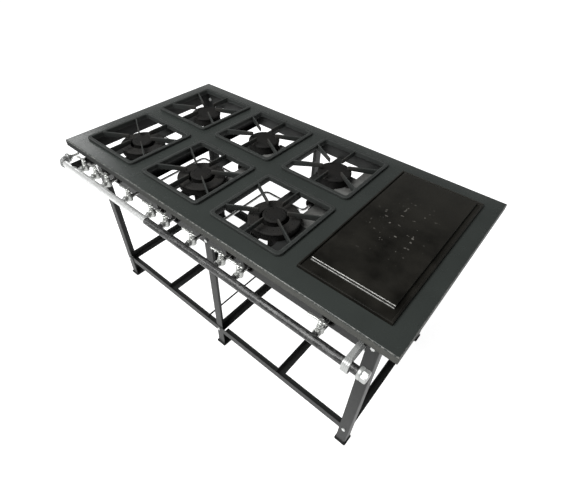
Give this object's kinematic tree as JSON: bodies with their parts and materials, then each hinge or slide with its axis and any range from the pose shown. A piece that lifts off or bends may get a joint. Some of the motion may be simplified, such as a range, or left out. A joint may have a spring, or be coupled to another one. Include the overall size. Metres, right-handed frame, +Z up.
{
  "type": "industrial gas stove with griddle",
  "caption": "Floor-standing catering gas stove: a steel table with square burner grates and a long griddle, lever valves on a front gas pipe, and an open stand of angle legs.",
  "frame": {"origin": "on the floor, below the middle of the outline", "axes": "+X to the right along the front, +Y from the front to the back, +Z up"},
  "size_m": [1.555, 0.834, 0.815],
  "materials": {
    "table_paint": "satin textured grey paint",
    "frame_paint": "satin dark grey paint",
    "pipe_paint": "hammered dark grey paint",
    "zinc": "bright zinc plating",
    "chrome": "polished plating",
    "tube_metal": "dull drawn tube",
    "bare_steel": "dull bare sheet",
    "burner_iron": "dark raw casting",
    "grate_iron": "grey painted casting",
    "griddle_iron": "oiled and seasoned",
    "burner_tube": "matt black"
  },
  "bodies": {
    "stand": {"table_top": "table_paint", "front_apron": "frame_paint", "back_rail": "frame_paint", "left_rail": "frame_paint", "right_rail": "frame_paint", "cross_members": "frame_paint", "leg_front_left": "frame_paint", "leg_front_middle": "frame_paint", "leg_front_right": "frame_paint", "leg_back_left": "frame_paint", "leg_back_middle": "frame_paint", "leg_back_right": "frame_paint", "foot_plates": "frame_paint", "lower_front_rail": "frame_paint", "lower_back_rail": "frame_paint", "lower_cross_rails": "frame_paint", "tie_rod": "frame_paint", "pipe_bracket": "frame_paint", "griddle_hanger": "frame_paint", "manifold_pipe": "pipe_paint", "inlet_pipe": "zinc", "frame_fasteners": "zinc", "valve_bodies": "chrome", "pipe_strap": "chrome", "end_cap": "chrome", "inlet_elbow": "chrome", "hose_nipple": "chrome", "injectors": "chrome", "feed_tubes": "tube_metal", "burner_support_bars": "bare_steel", "double_burner_left": "burner_iron", "double_burner_middle": "burner_iron", "double_burner_right": "burner_iron", "ring_cap_left": "burner_iron", "ring_cap_middle": "burner_iron", "ring_cap_right": "burner_iron", "centre_caps": "burner_iron", "single_burner_left": "burner_iron", "single_burner_middle": "burner_iron", "single_burner_right": "burner_iron", "single_caps": "burner_iron", "griddle_burner": "burner_tube"},
    "handle_left_back": {"handle_left_back": "chrome"},
    "handle_left_centre": {"handle_left_centre": "chrome"},
    "handle_left_ring": {"handle_left_ring": "chrome"},
    "handle_middle_back": {"handle_middle_back": "chrome"},
    "handle_middle_centre": {"handle_middle_centre": "chrome"},
    "handle_middle_ring": {"handle_middle_ring": "chrome"},
    "handle_right_back": {"handle_right_back": "chrome"},
    "handle_right_centre": {"handle_right_centre": "chrome"},
    "handle_right_ring": {"handle_right_ring": "chrome"},
    "handle_griddle": {"handle_griddle": "chrome"},
    "grate_front_left": {"grate_front_left": "grate_iron"},
    "grate_back_left": {"grate_back_left": "grate_iron"},
    "grate_front_middle": {"grate_front_middle": "grate_iron"},
    "grate_back_middle": {"grate_back_middle": "grate_iron"},
    "grate_front_right": {"grate_front_right": "grate_iron"},
    "grate_back_right": {"grate_back_right": "grate_iron"},
    "griddle_plate": {"griddle_plate": "griddle_iron"}
  },
  "joints": [
    {"name": "valve_left_back", "type": "hinge", "parent": "stand", "child": "handle_left_back", "pos_m": [-0.6365, -0.357, 0.738], "axis": [0, 0, 1], "range_deg": [0, 90]},
    {"name": "valve_left_centre", "type": "hinge", "parent": "stand", "child": "handle_left_centre", "pos_m": [-0.5525, -0.357, 0.738], "axis": [0, 0, 1], "range_deg": [0, 90]},
    {"name": "valve_left_ring", "type": "hinge", "parent": "stand", "child": "handle_left_ring", "pos_m": [-0.4725, -0.357, 0.738], "axis": [0, 0, 1], "range_deg": [0, 90]},
    {"name": "valve_middle_back", "type": "hinge", "parent": "stand", "child": "handle_middle_back", "pos_m": [-0.3325, -0.357, 0.738], "axis": [0, 0, 1], "range_deg": [0, 90]},
    {"name": "valve_middle_centre", "type": "hinge", "parent": "stand", "child": "handle_middle_centre", "pos_m": [-0.1925, -0.357, 0.738], "axis": [0, 0, 1], "range_deg": [0, 90]},
    {"name": "valve_middle_ring", "type": "hinge", "parent": "stand", "child": "handle_middle_ring", "pos_m": [-0.1125, -0.357, 0.738], "axis": [0, 0, 1], "range_deg": [0, 90]},
    {"name": "valve_right_back", "type": "hinge", "parent": "stand", "child": "handle_right_back", "pos_m": [0.0275, -0.357, 0.738], "axis": [0, 0, 1], "range_deg": [0, 90]},
    {"name": "valve_right_centre", "type": "hinge", "parent": "stand", "child": "handle_right_centre", "pos_m": [0.1675, -0.357, 0.738], "axis": [0, 0, 1], "range_deg": [0, 90]},
    {"name": "valve_right_ring", "type": "hinge", "parent": "stand", "child": "handle_right_ring", "pos_m": [0.2475, -0.357, 0.738], "axis": [0, 0, 1], "range_deg": [0, 90]},
    {"name": "valve_griddle", "type": "hinge", "parent": "stand", "child": "handle_griddle", "pos_m": [0.5575, -0.357, 0.738], "axis": [0, 0, 1], "range_deg": [0, 90]},
    {"name": "lift_grate_front_left", "type": "slide", "parent": "stand", "child": "grate_front_left", "axis": [0, 0, 1], "range_m": [0, 0.15]},
    {"name": "lift_grate_back_left", "type": "slide", "parent": "stand", "child": "grate_back_left", "axis": [0, 0, 1], "range_m": [0, 0.15]},
    {"name": "lift_grate_front_middle", "type": "slide", "parent": "stand", "child": "grate_front_middle", "axis": [0, 0, 1], "range_m": [0, 0.15]},
    {"name": "lift_grate_back_middle", "type": "slide", "parent": "stand", "child": "grate_back_middle", "axis": [0, 0, 1], "range_m": [0, 0.15]},
    {"name": "lift_grate_front_right", "type": "slide", "parent": "stand", "child": "grate_front_right", "axis": [0, 0, 1], "range_m": [0, 0.15]},
    {"name": "lift_grate_back_right", "type": "slide", "parent": "stand", "child": "grate_back_right", "axis": [0, 0, 1], "range_m": [0, 0.15]},
    {"name": "lift_griddle", "type": "slide", "parent": "stand", "child": "griddle_plate", "axis": [0, 0, 1], "range_m": [0, 0.15]}
  ]
}
